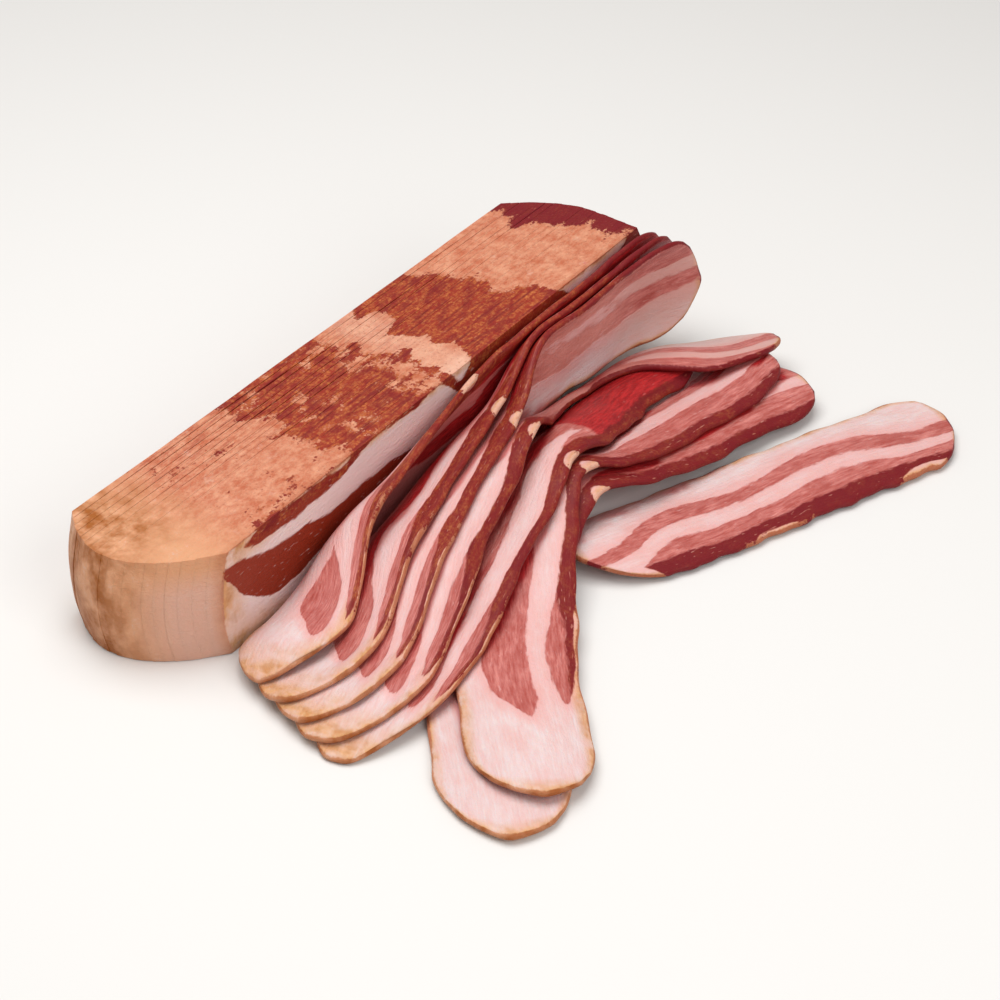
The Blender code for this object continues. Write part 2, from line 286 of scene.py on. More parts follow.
def round_end(v, fat_cut, lean_cut, belly):
    """How far the end of a slice is cut back at v: corners by their cuts, middle bulging."""
    fat = np.clip(1.0 - v / FAT_CORNER_TO, 0.0, 1.0) ** 2
    lean = np.clip((v - LEAN_CORNER_FROM) / FAT_CORNER_TO, 0.0, 1.0) ** 2
    return fat_cut * fat + lean_cut * lean - belly * np.sin(math.pi * v)


class Slice:
    """One slice: its name, its middle surface and its place in the uncut slab.

    grid holds the points of the middle surface; u, wide and row say how far along the
    slab each point was, how wide the slice is there, and which cut of the slab it is.
    """

    def __init__(self, name, grid, u, wide, row):
        self.name = name
        self.grid = grid
        self.u = u + 0.0 * grid[..., 0]
        self.wide = wide + 0.0 * grid[..., 0]
        self.row = row


def standing_slice(row, nudged=1.0):
    """A slice that still stands in the slab, its outline uneven by a share nudged."""
    along, across = SLAB_GRID
    rng = np.random.default_rng(UNEVEN_SEED + row)
    nudge = rng.uniform(-1.0, 1.0, 4) * (nudged, nudged, nudged, 1.0)
    middle = float(slab_y(row, 0.5 * SLAB_LENGTH))
    smoked, cut = slab_ends(middle)
    v = np.linspace(0.0, 1.0, across)[None, :]
    start = smoked + UNEVEN_END * nudge[0] + round_end(v, *STANDING_SMOKED)
    stop = cut + UNEVEN_END * nudge[1] - round_end(v, *STANDING_CUT)
    share = np.linspace(0.0, 1.0, along)[:, None]
    x = blend(start, stop, share)
    y = slab_y(row, x)
    low = slab_bottom(x, y)
    high = slab_top(x) + UNEVEN_TOP * nudge[2] * np.sin(x / WAVE_LENGTH + 3.0 * nudge[3])
    z = blend(low, high, v + 0.0 * x)
    return Slice(f"slab_slice_{row + 1:02d}", np.stack([x, y, z], -1), x, high - low, row)


# Loose slices: stations of u, fat edge (x, y, z) and lean edge (x, y, z)
PAGE_FIRST = [
    (0, (8, -2, 2), (14, -45, 10)),
    (45, (50, 0, 2), (46, -34, 20)),
    (72, (77, 1, 2), (73, -19, 37)),
    (100, (102, 2, 2), (98, -13, 42)),
    (128, (129, 3, 2), (127, -5, 45)),
    (156, (157, 4, 2), (157, 3, 48)),
]
PAGE_LAST = [
    (0, (-6, -46, 2), (8, -88, 2)),
    (45, (42, -38, 2), (50, -80, 8)),
    (72, (70, -31, 2), (76, -74, 14)),
    (100, (98, -23, 2), (102, -64, 19)),
    (128, (128, -16, 2), (133, -55, 23)),
    (156, (157, -13, 2), (161, -46, 29)),
]
PAGE_FOOT_SHARES = (0.0, 0.25, 0.5, 0.75, 1.0)
PAGE_TIP_SHARES = (0.0, 0.37, 0.62, 0.85, 1.0)
PAGE_BACK_SHARES = (0.0, 0.29, 0.46, 0.62, 1.0)
PAGE_FLARE = (3.0, 6.5, 11.0)
PAGE_FLARE_FROM = 225.0
PAGE_FLARE_OVER = 60.0
PAGE_BELOW_TOP = 0.5
PAGE_ROOM = 1.2
PAGE_STANDS_AT = (190.0, 215.0, 243.0, 280.0)

FOURTH_PAGE_REST = [
    (180, (181, 3, 2), (179, -19, 21)),
    (205, (206, 13, 2), (205, -9, 12)),
    (228, (233, 13, 4), (226, -11, 12)),
    (250, (258, -1, 7), (241, -24, 13)),
    (270, (275, -18, 7), (253, -42, 15)),
    (300, (297, -31, 6), (288, -54, 14)),
]
FIFTH_PAGE_REST = [
    (180, (184, -6, 2), (186, -42, 16)),
    (205, (208, 3, 2), (208, -36, 5)),
    (230, (232, 6, 2), (232, -33, 5)),
    (255, (254, 4, 2), (257, -36, 8)),
]
BENT_UPPER = [
    (-6, (9, -117, 5), (36, -151, 3)),
    (40, (48, -76, 5), (77, -110, 5)),
    (80, (79, -51, 4), (108, -85, 8)),
    (118, (118, -26, 3), (140, -61, 18)),
    (148, (150, -16, 2), (158, -52, 26)),
    (178, (180, -18, 2), (177, -59, 22)),
    (215, (217, -21, 2), (213, -62, 16)),
    (250, (252, -20, 3), (249, -64, 11)),
    (280, (283, -16, 3), (282, -61, 9)),
]
BENT_LOWER = [
    (-4, (-9, -116, 2), (19, -155, 2)),
    (45, (34, -76, 2), (62, -112, 2)),
    (85, (66, -50, 2), (95, -84, 5)),
    (125, (112, -31, 2), (136, -64, 13)),
    (155, (150, -21, 2), (160, -60, 19)),
    (185, (182, -24, 2), (182, -67, 14)),
    (220, (217, -28, 2), (214, -72, 9)),
    (255, (252, -32, 2), (248, -76, 7)),
    (285, (284, -38, 2), (277, -83, 6)),
]
FLAT_FRONT = [
    (0, (137, -46, 2), (125, -87, 2)),
    (60, (187, -63, 2), (172, -106, 2)),
    (120, (246, -82, 2), (228, -124, 2)),
    (180, (312, -106, 2), (284, -143, 2)),
]
FRONT_SLICE_FROM = 100.0


def page_stations(number):
    """Stations of page 0 to 4: the smoked ends fan out evenly from the first to the last page."""
    fan = []
    for first, last in zip(PAGE_FIRST, PAGE_LAST):
        along = first[0] / PAGE_FIRST[-1][0]
        share = blend(PAGE_TIP_SHARES[number], PAGE_BACK_SHARES[number], along)
        fat = blend(np.array(first[1], float), np.array(last[1], float), PAGE_FOOT_SHARES[number])
        lean = blend(np.array(first[2], float), np.array(last[2], float), share)
        fan.append((first[0], fat, lean))
    if number == 3:
        return fan + FOURTH_PAGE_REST
    if number == 4:
        return fan + FIFTH_PAGE_REST
    row = -PAGE_ROOM * (1.0 + number)
    for x in PAGE_STANDS_AT:
        flare = PAGE_FLARE[number] * ease((x - PAGE_FLARE_FROM) / PAGE_FLARE_OVER)
        y = slab_y(row, x) - flare
        low = slab_bottom(x, y)
        fan.append((x, np.array((x, y - flare, low)), np.array((x, y, slab_top(x) - PAGE_BELOW_TOP))))
    return fan


def loose_slice(name, stations, smoked, cut, width, row, from_u=0.0):
    """A slice that has left the slab, laid along its stations."""
    along, across = LOOSE_GRID
    start, stop = stations[0][0], stations[-1][0]
    v = np.linspace(0.0, 1.0, across)[None, :]
    first = start + round_end(v, *smoked)
    last = stop - round_end(v, *cut)
    u = blend(first, last, np.linspace(0.0, 1.0, along)[:, None])
    wide = through([(s, w) for s, w in width], u)[..., 0]
    grid = sheet_point(stations, wide, u, v + 0.0 * u)
    return Slice(name, grid, u + from_u, wide, row)


def loose_slices():
    """The eight slices in front of the slab, from the lowest to the highest."""
    low = [
        loose_slice("front_slice", FLAT_FRONT, FRONT_SMOKED, FRONT_CUT, FRONT_WIDTH, -8, FRONT_SLICE_FROM),
        loose_slice("bent_slice_lower", BENT_LOWER, LOWER_SMOKED, LOOSE_CUT, EVEN_WIDTH, -7),
        loose_slice("bent_slice_upper", BENT_UPPER, UPPER_SMOKED, LOOSE_CUT, EVEN_WIDTH, -6),
    ]
    pages = []
    for number in range(5):
        name = f"fan_slice_{number + 1}"
        width = TORN_WIDTH if number == 3 else EVEN_WIDTH
        stations = page_stations(number)
        pages.append(loose_slice(name, stations, PAGE_SMOKED, LOOSE_CUT, width, -1 - number))
    return low + pages[::-1]


def normals(grid):
    """Unit normals of a grid, pointing to the slice's upper side."""
    along = np.gradient(grid, axis=0)
    across = np.gradient(grid, axis=1)
    return unit(np.cross(across, along))


def grid_triangles(shape):
    """Triangles of a grid of points, every cell split the same way."""
    rows, cols = shape
    tris = []
    for i in range(rows - 1):
        for j in range(cols - 1):
            a = i * cols + j
            b = a + 1
            c = a + cols
            d = c + 1
            tris += [(a, c, d), (a, d, b)]
    return tris


def tree_of(grid):
    """A search tree over the triangles of a grid."""
    points = [Vector(p) for p in grid.reshape(-1, 3)]
    return BVHTree.FromPolygons(points, grid_triangles(grid.shape[:2]))


def smooth_shift(shift):
    """Spread a shift of the grid points over their neighbours."""
    padded = np.pad(shift, ((1, 1), (1, 1), (0, 0)), mode="edge")
    near = padded[:-2, 1:-1] + padded[2:, 1:-1] + padded[1:-1, :-2] + padded[1:-1, 2:]
    return OWN_SHARE * shift + NEXT_SHARE * near


def pushes(points, grid, need, side_sign):
    """For each point too near a slice: its index, the near cell's corners and the push."""
    tree = tree_of(grid)
    cells = grid_triangles(grid.shape[:2])
    n_grid = normals(grid).reshape(-1, 3)
    for k, point in enumerate(points.reshape(-1, 3)):
        hit, _, face, gap = tree.find_nearest(Vector(point), REACH)
        if hit is None:
            continue
        corner = list(cells[face])
        n = n_grid[corner].mean(axis=0)
        n = side_sign * n / np.linalg.norm(n)
        away = point - np.array(hit)
        side = float(away @ n)
        if side >= 0.0 and gap >= need:
            continue
        if side < STRAIGHT_PUSH * need:
            yield k, corner, n * (need - side)
        else:
            yield k, corner, away / gap * (need - gap)


def push_apart(upper, lower, share_upper, need):
    """Shifts that bring two neighbouring slices back to their least distance."""
    shift_u = np.zeros_like(upper.grid)
    shift_l = np.zeros_like(lower.grid)
    flat_u = shift_u.reshape(-1, 3)
    flat_l = shift_l.reshape(-1, 3)
    for k, corner, push in pushes(upper.grid, lower.grid, need, 1.0):
        flat_u[k] += push * share_upper
        flat_l[corner] -= push * (1.0 - share_upper) / 3.0
    for k, corner, push in pushes(lower.grid, upper.grid, need, -1.0):
        flat_l[k] += push * (1.0 - share_upper)
        flat_u[corner] -= push * share_upper / 3.0
    return shift_u, shift_l


def settle(loose, slab):
    """Ease the loose slices apart until none touches another, the slab or the floor."""
    count = len(loose)
    pieces = loose + slab[:NEAR_ROWS]
    pairs = [(low, high) for low in range(count) for high in range(low + 1, count + NEAR_ROWS)]
    starts = [s.grid.copy() for s in loose]
    need = THICK + CLEAR
    busy = {}
    for step in range(SETTLE_ROUNDS):
        shifts = [np.zeros_like(s.grid) for s in pieces]
        for low, high in pairs:
            if not busy.get((low, high), True) and step % RECHECK_EVERY:
                continue
            share = 0.5 if high < count else 0.0
            up, down = push_apart(pieces[high], pieces[low], share, need)
            busy[(low, high)] = bool(np.any(down) or np.any(up))
            shifts[high] += up
            shifts[low] += down
        calm = step >= SETTLE_ROUNDS - CALM_ROUNDS
        for piece, start, shift in zip(loose, starts, shifts):
            shift = np.clip(shift, -LONGEST_STEP, LONGEST_STEP)
            moved = piece.grid - start + STEP_SHARE * smooth_shift(shift)
            moved = blend(moved, smooth_shift(moved), EVENING_CALM if calm else EVENING_FIRST)
            piece.grid = start + moved
            piece.grid[..., 2] = np.maximum(piece.grid[..., 2], FLOOR)


def skins(grid, thick):
    """The upper and the lower face of a slice."""
    half = 0.5 * thick * normals(grid)
    return (grid + half).reshape(-1, 3), (grid - half).reshape(-1, 3)


# Bands of the uncut slab on four of its cuts, at u along it: the rim of fat, the upper
# lean, the white fat under it and the lower lean, all measured down from the smoked lean
# edge of a slice 46 wide. A rim below 0 means that the lean reaches the smoked edge.
BAND_WIDTH = 46.0
SLAB_BANDS = [
    (14, 1.5, 1.5, 1.5, 9),
    (24, 1.0, 4.5, 3.5, 16),
    (36, 0.6, 7, 5, 20),
    (50, 0.5, 8, 7, 19),
    (66, 0.6, 7, 9, 15),
    (84, 1, 4, 12, 13),
    (90, -2.5, 5, 14, 12),
    (120, -2.5, 5, 14.5, 10),
    (143, -2.5, 5, 14, 10),
    (149, 3.5, 5, 8, 9),
    (155, 3.5, 5, 8, 9),
    (161, -2.5, 10, 7, 9),
    (211, -2.5, 12, 7, 9),
    (217, 2, 10, 6.5, 9),
    (262, 2, 10, 6, 9),
    (269, -2.5, 12, 6, 9),
    (300, -2.5, 12, 6, 9),
]
PAGE_BANDS = [
    (20, 5, 1, 6, 16),
    (34, 3, 3, 8, 23),
    (46, 1.2, 9, 9, 15),
    (56, 0.8, 12, 12, 4),
    (66, 0.7, 12, 14, 2),
    (84, 0.4, 12, 12, 3),
    (94, -2, 12, 10, 6),
    (120, -2, 11, 10, 8),
    (143, -2, 11, 9, 9),
    (147.5, 3.5, 5, 9, 9),
    (152.5, 3.5, 5, 9, 9),
    (157, -3, 12, 7, 10),
    (230, -3, 14, 6, 9),
    (300, -3, 14, 6, 9),
]
BENT_BANDS = [
    (20, 7, 5, 7, 8),
    (34, 2.5, 10, 7, 16),
    (50, 1.5, 12, 6.5, 18),
    (72, 1.2, 9, 8, 17),
    (90, -1.5, 8, 11, 12),
    (143, -2, 9, 11, 10),
    (147.5, 3.5, 4, 10, 9),
    (152.5, 3.5, 4, 10, 9),
    (157, -3, 12, 6, 10),
    (190, -3, 17, 7, 9),
    (300, -3, 16, 7, 9),
]
FRONT_BANDS = [
    (100, 6, 4, 9, 7),
    (125, 6, 6, 9, 7),
    (132, -2, 18, 8, 7),
    (160, -2, 21, 8, 8),
    (167, -0.5, 18, 8, 8),
    (203, -0.5, 17, 7, 8),
    (209, -2, 19, 7, 9),
    (245, -2, 17, 7, 9),
    (252, 1.5, 12, 6, 9),
    (285, 2, 11, 6, 8),
]
# Which bands a cut shows, and where its upper and its lower lean begin
CUTS = {
    0: (SLAB_BANDS, 24.0, 12.0),
    -1: (PAGE_BANDS, 34.0, 18.0),
    -6: (BENT_BANDS, 27.0, 20.0),
    -7: (BENT_BANDS, 24.0, 18.0),
    -8: (FRONT_BANDS, 0.0, 0.0),
}
LEAN_TIP = 9.0
# The hollow of the fifth page, painted as shade: where it starts, how fast and how deep in lean
# it gets, and how soon its painted shade is full
HOLLOW_ROW = -5
HOLLOW_FROM = 168.0
HOLLOW_SLOPE = 0.4
HOLLOW_DEPTH = 5.0
HOLLOW_SHADE_OVER = 14.0
# How far the bands have shifted at the slab's back, from where, and over what length
SLAB_DEPTH = 58.0
DRIFT_FAR = (25.0, 165.0, 30.0)
DRIFT_NEAR = (8.0, 95.0, 30.0)
DRIFT_MIDDLE = (20.0, 134.0, 16.0)
# How a band's ends stray from slice to slice: how far, the wave's length through and
# along the slab, and its start
STRAYS = ((3.2, 5.3, 19.0, 0.0), (2.4, 2.9, -33.0, 1.0), (1.6, 1.4, 11.0, 0.0))
STRAY_FROM = 6.0
# Lean that is on the slab's front face near the smoked end and fades behind it
FADE = 1.7
FADE_OVER = 4.0
FADE_TO = 68.0
FADE_LENGTH = 14.0


def drift(u, y):
    """How far the slab's bands have shifted along it at depth y behind its front face."""
    far, far_from, far_over = DRIFT_FAR
    near, near_from, near_over = DRIFT_NEAR
    middle, middle_at, middle_over = DRIFT_MIDDLE
    back = np.clip(y / SLAB_DEPTH, 0.0, 1.0)
    ends = far * ease((u - far_from) / far_over) + near * (1.0 - ease((u - near_from) / near_over))
    return back * ends + middle * back**3 * np.exp(-((u - middle_at) / middle_over) ** 2)


def depth_in_cut(cut, u, d):
    """How deep inside a band of lean a point of one cut is: above 0 in lean, below 0 in fat."""
    bands, upper_from, lower_from = CUTS[cut]
    rim, upper, white, lower = np.moveaxis(through(bands, u), -1, 0)
    depth = np.full_like(d, -1e3)
    for top, wide, start in ((rim, upper, upper_from), (rim + upper + white, lower, lower_from)):
        tip = u - start
        half = 0.5 * wide * np.sqrt(np.clip(tip / LEAN_TIP, 1e-6, 1.0))
        half = np.where(tip < 0.0, tip, half)
        depth = np.maximum(depth, half - np.abs(d - top - 0.5 * wide))
    return depth


def lean_depth(row, u, d, y):
    """How deep in lean a point is, in any cut of the slab."""
    if row >= 0:
        stray = sum(far * np.sin(y / back + u / along + turn) for far, back, along, turn in STRAYS)
        fades = FADE * ease(y / FADE_OVER) * (1.0 - ease((u - FADE_TO) / FADE_LENGTH))
        return depth_in_cut(0, u + drift(u, y) + stray * ease(y / STRAY_FROM), d) - fades
    if row <= -6:
        return depth_in_cut(row, u, d)
    depth = blend(depth_in_cut(-1, u, d), depth_in_cut(-6, u, d), (-1.0 - row) / 5.0)
    # The fifth page's hollow is painted all lean, as shade
    if row == HOLLOW_ROW:
        depth = np.maximum(depth, np.minimum(HOLLOW_SLOPE * (u - HOLLOW_FROM), HOLLOW_DEPTH))
    return depth


def refine(values, rows, cols):
    """Values on a coarse grid, read smoothly on a finer one."""
    flat = values.reshape(values.shape[0], values.shape[1], -1)
    stations = [(i, line.ravel()) for i, line in enumerate(flat)]
    flat = through(stations, np.linspace(0.0, len(stations) - 1.0, rows))
    flat = flat.reshape(rows, values.shape[1], -1).swapaxes(0, 1)
    stations = [(j, line.ravel()) for j, line in enumerate(flat)]
    flat = through(stations, np.linspace(0.0, len(stations) - 1.0, cols))
    return flat.reshape((cols, rows) + values.shape[2:]).swapaxes(0, 1)


def edge_distance(grid):
    """How far each point of a grid is from the slice's rim, over its surface."""
    rows, cols = grid.shape[:2]
    along = np.linalg.norm(np.diff(grid, axis=0), axis=-1)
    across = np.linalg.norm(np.diff(grid, axis=1), axis=-1)
    from_start = np.vstack([np.zeros((1, cols)), np.cumsum(along, axis=0)])
    from_fat = np.hstack([np.zeros((rows, 1)), np.cumsum(across, axis=1)])
    to_stop = from_start[-1:] - from_start
    to_lean = from_fat[:, -1:] - from_fat
    ends = np.minimum(from_start, to_stop)
    sides = np.minimum(from_fat, to_lean)
    return np.minimum(ends, sides), to_lean


def slit(u, y, row):
    """How far the slit behind a standing slice gapes, 0 to 1: mostly at the back of the slab."""
    gape = sum((far * np.sin(u / long + turn * row) for far, long, turn in SLIT_WAVES), SLIT_GAPE)
    share, first, last, over = SLIT_MIDDLE
    middle = share * ease((u - first) / over) * (1.0 - ease((u - last) / over))
    share, first, over = SLIT_BACK
    back = share * ease((y - first) / over)
    first, over = SLIT_OFF_END
    return np.clip(gape, 0.0, 1.0) * (middle + back) * ease((u - first) / over)


def round_corners(grid, fields):
    """Draws the corners of a slice in to a round, its places and widths with them."""
    rows, cols = grid.shape[:2]
    v = np.linspace(0.0, 1.0, cols)
    middle = grid[:, cols // 2]
    run = np.concatenate([[0.0], np.cumsum(np.linalg.norm(np.diff(middle, axis=0), axis=-1))])
    grid, fields = grid.copy(), [f.copy() for f in fields]
    for i, to_end in enumerate(np.minimum(run, run[-1] - run)):
        if to_end < CORNER_REACH:
            arc = math.sqrt(1.0 - (1.0 - to_end / CORNER_REACH) ** 2)
            at = 0.5 + (v - 0.5) * (1.0 - CORNER_SHARE * (1.0 - arc))
            for k in range(3):
                grid[i, :, k] = np.interp(at, v, grid[i, :, k])
            for field in fields:
                field[i] = np.interp(at, v, field[i])
    return grid, fields


def wave_edges(grid, seed):
    """A grid whose outline wanders in and out a little, as a hand-fed slicer leaves it."""
    rows, cols = grid.shape[:2]
    rng = np.random.default_rng(seed)
    s = np.linspace(0.0, 1.0, rows)[:, None, None]
    v = np.linspace(0.0, 1.0, cols)[None, :, None]
    along = unit(np.gradient(grid, axis=0))
    across = unit(np.gradient(grid, axis=1))
    turns = rng.uniform(0.0, 6.28, 8)
    lean, fat, first, last = (
        np.sin(slow * t + turns[2 * k]) + part * np.sin(quick * t + turns[2 * k + 1])
        for k, (t, (slow, quick, part)) in enumerate(zip((s, s, v, v), OUTLINE_WAVES)))
    return grid + LOOSE_WAVE * (across * (lean * v**6 - fat * (1.0 - v) ** 6)
                                + along * (last * s**30 - first * (1.0 - s) ** 30))


def painted_shade_between(piece, others):
    """How closely other slices lie over each face of a slice, 0 to 1, on its shade grid: the painted shade
    between slices.
    """
    points, tris = [], []
    for other in others:
        base = sum(len(p) for p in points)
        points.append(other.grid.reshape(-1, 3))
        tris += [tuple(base + k for k in tri) for tri in grid_triangles(other.grid.shape[:2])]
    tree = BVHTree.FromPolygons([Vector(p) for p in np.concatenate(points)], tris)
    grid = refine(piece.grid, *SHADE_GRID)
    n = normals(grid).reshape(-1, 3)
    flat = grid.reshape(-1, 3)
    side = unit(np.gradient(grid, axis=0).reshape(-1, 3))
    third = np.cross(n, side)
    faces = []
    for sign in (1.0, -1.0):
        closeness = np.zeros(len(flat))
        for to_side, to_third in SHADE_RAYS:
            way = sign * n + to_side * side + to_third * third
            for k, (point, aim) in enumerate(zip(flat + sign * n, way)):
                hit = tree.ray_cast(Vector(point), Vector(aim))
                if hit[0] is not None:
                    closeness[k] += math.exp(-hit[3] / SHADE_REACH) / len(SHADE_RAYS)
        faces.append(closeness.reshape(SHADE_GRID))
    return faces


def outward(grid, n, ring):
    """Unit ways out of a slice at its rim, square to the rim and to the slice's normals."""
    middle = grid.reshape(-1, 3)
    ahead = np.roll(middle[ring], -1, axis=0) - np.roll(middle[ring], 1, axis=0)
    out = unit(np.cross(ahead, n.reshape(-1, 3)[ring]))
    return out * np.sign(np.sum(out * (middle[ring] - middle.mean(axis=0))))


def rim_lines(top, under, ring, swell=0.0):
    """Lines between the rims of two skins, evenly spaced. swell bulges them out."""
    lines = []
    for k in range(1, EDGE_STEPS):
        t = k / EDGE_STEPS
        lines.append(blend(top[ring], under[ring], t) + 4.0 * t * (1.0 - t) * swell)
    return lines


def closed_faces(cells, ring):
    """Faces of the upper skin, the lower skin and the edge lines between their rims."""
    a, b, c, d = cells[:-1, :-1], cells[:-1, 1:], cells[1:, 1:], cells[1:, :-1]
    count = cells.size
    quads = [np.stack([a, d, c, b], -1).reshape(-1, 4), np.stack([a, b, c, d], -1).reshape(-1, 4) + count]
    loops = [ring]
    loops += [2 * count + k * len(ring) + np.arange(len(ring)) for k in range(EDGE_STEPS - 1)]
    loops.append(ring + count)
    for upper, lower in zip(loops, loops[1:]):
        quads.append(np.stack([upper, np.roll(upper, -1), np.roll(lower, -1), lower], -1))
    return np.concatenate(quads)


def mesh_of(piece, points, faces, layers, offset):
    """A smooth mesh of points and faces, none below the floor, with a named value per point."""
    mesh = bpy.data.meshes.new(piece.name)
    verts = (points - offset) * MM
    verts[:, 2] = np.maximum(verts[:, 2], 0.0)
    mesh.from_pydata(verts.tolist(), [], faces.tolist())
    for label, values in layers.items():
        layer = mesh.attributes.new(label, "FLOAT_VECTOR", "POINT")
        layer.data.foreach_set("vector", values.astype(np.float32).ravel())
    bm = bmesh.new()
    bm.from_mesh(mesh)
    bmesh.ops.recalc_face_normals(bm, faces=bm.faces)
    bm.to_mesh(mesh)
    bm.free()
    mesh.shade_smooth()
    if piece.row >= 0:
        mesh.set_sharp_from_angle(angle=math.radians(SHARP_ANGLE))
    return mesh


def slant_ends(piece, skins_and_places):
    """Move a standing slice's skins along the slab, so that its ends follow the slab's bulge."""
    middle = float(slab_y(piece.row, 0.5 * SLAB_LENGTH))
    ends = slab_ends(middle)
    for (skin, skin_u), y in zip(skins_and_places, (middle + HALF_PITCH, middle - HALF_PITCH)):
        skin_ends = slab_ends(y)
        share = np.linspace(0.0, 1.0, len(skin))[:, None]
        slant = blend(skin_ends[0] - ends[0], skin_ends[1] - ends[1], share)
        skin[..., 0] += slant
        skin_u += slant


def slice_mesh(piece, others, offset):
    """A finely meshed slice with rounded edges, which carries its place in the slab."""
    standing = piece.row >= 0
    rows, cols = SLAB_MESH if standing else LOOSE_MESH
    grid, u, wide = (refine(values, rows, cols) for values in (piece.grid, piece.u, piece.wide))
    rim, from_lean = edge_distance(grid)
    if not standing:
        grid, (u, wide, from_lean) = round_corners(grid, (u, wide, from_lean))
        grid = wave_edges(grid, LOOSE_WAVE_SEED - piece.row)
        rim = edge_distance(grid)[0]
    n = normals(grid)
    pitch = blend(PITCH_SMOKED_END, PITCH_CUT_END, u / SLAB_LENGTH)
    thick = pitch - SLAB_SLIT if standing else LOOSE_LOOKS_THICK + 0.0 * u
    round_over, thin_to, bulge = SLAB_EDGE if standing else LOOSE_EDGE
    inward = np.clip(rim / round_over, 0.0, 1.0)
    half = 0.5 * thick * blend(thin_to, 1.0, np.sqrt(1.0 - (1.0 - inward) ** 2))
    y_in_slab = piece.row * pitch
    if standing:
        half = half * (1.0 - SLAB_SLIT_OPEN * slit(u, y_in_slab, piece.row) * np.exp(-rim / SLIT_FADE))
    top = grid + n * half[..., None]
    under = grid - n * half[..., None]
    u_top, u_under = u.copy(), u.copy()
    if standing:
        slant_ends(piece, ((top, u_top), (under, u_under)))

    # Where the slice is torn narrow, its lean edge has gone
    from_lean = from_lean + TORN_SHIFT * np.clip(TORN_BELOW - wide, 0.0, None) * (piece.row < 0)
    across = from_lean * BAND_WIDTH / np.maximum(wide, TORN_BELOW)
    lean_top = lean_depth(piece.row, u_top, across, y_in_slab + half)
    lean_under = lean_depth(piece.row, u_under, across, y_in_slab - half)
    shade_top, shade_under = np.zeros_like(u), np.zeros_like(u)
    # Painted shade on each face, from how closely other slices lie over it
    if piece.row < 1:
        shade_top, shade_under = (refine(shade_amount, rows, cols) for shade_amount in painted_shade_between(piece, others))
    if standing:
        shade_under = SHADE_ON_SLAB * shade_under
    # The fifth page's hollow gets full painted shade
    if piece.row == HOLLOW_ROW:
        shade_top = np.maximum(shade_top, ease((u - HOLLOW_FROM) / HOLLOW_SHADE_OVER))

    cells = np.arange(rows * cols).reshape(rows, cols)
    ring = np.concatenate([cells[:-1, 0], cells[-1, :-1], cells[:0:-1, -1], cells[0, :0:-1]])
    swell = bulge * outward(grid, n, ring)
    skin_pairs = {
        "points": (top, under),
        "slab": (np.stack([u_top, from_lean, y_in_slab + half], -1),
                 np.stack([u_under, from_lean, y_in_slab - half], -1)),
        "meat": (np.stack([lean_top, rim, shade_top], -1), np.stack([lean_under, rim, shade_under], -1)),
    }
    layers = {}
    for label, pair in skin_pairs.items():
        upper, lower = (values.reshape(-1, 3) for values in pair)
        lines = rim_lines(upper, lower, ring, swell if label == "points" else 0.0)
        layers[label] = np.concatenate([upper, lower] + lines)
    points = layers.pop("points")
    return mesh_of(piece, points, closed_faces(cells, ring), layers, offset)


def linear(code):
    """An sRGB hex colour as linear RGBA."""
    parts = [int(code[i:i + 2], 16) / 255.0 for i in (1, 3, 5)]
    return [p / 12.92 if p <= 0.04045 else ((p + 0.055) / 1.055) ** 2.4 for p in parts] + [1.0]


def add(tree, kind, links=None, out=0, **settings):
    """Adds a node with its settings and its input values or links, and gives one output."""
    node = tree.nodes.new(kind)
    for key, value in settings.items():
        setattr(node, key, value)
    for socket, value in (links or {}).items():
        if isinstance(value, bpy.types.NodeSocket):
            tree.links.new(value, node.inputs[socket])
        else:
            node.inputs[socket].default_value = value
    return node.outputs[out] if out is not None else None


def patterns(t, place):
    """Patterns of meat, fat and smoke, each with lumps of its own size."""
    # Lumps in millimetres along the slab, down the face and through the slab, then their
    # detail and roughness. Fibre and grain are drawn coarser than in real meat, to show.
    sizes = {
        "wander": ((26, 11, 16), 2.0, 0.5),
        "ragged": ((4.5, 1.5, 2.2), 3.0, 0.6),
        "blots": ((8, 8, 6), 3.0, 0.6),
        "mottle": ((11, 7, 11), 4.0, 0.6),
        "speckle": ((4.5, 3.0, 2.6), 4.0, 0.7),
        "fibre": ((7, 1.1, 1.6), 4.0, 0.65),
        "streak": ((22, 9, 1.3), 3.0, 0.6),
        "grain": ((1.3, 1.3, 1.3), 3.0, 0.6),
        "smoke": ((8, 13, 9), 3.0, 0.6),
        "flecks": ((4.0, 1.1, 1.1), 1.0, 0.5),
    }
    noise = {}
    for seed, (name, (size, detail, rough)) in enumerate(sizes.items()):
        shift = (17.0 * seed, 9.0 * seed, 5.0 * seed)
        moved = add(t, "ShaderNodeMapping", {"Vector": place, "Location": shift,
                                            "Scale": [1.0 / lump for lump in size]})
        noise[name] = add(t, "ShaderNodeTexNoise", {"Vector": moved, "Scale": 1.0, "Detail": detail,
                                                   "Roughness": rough})
    return SimpleNamespace(**noise)


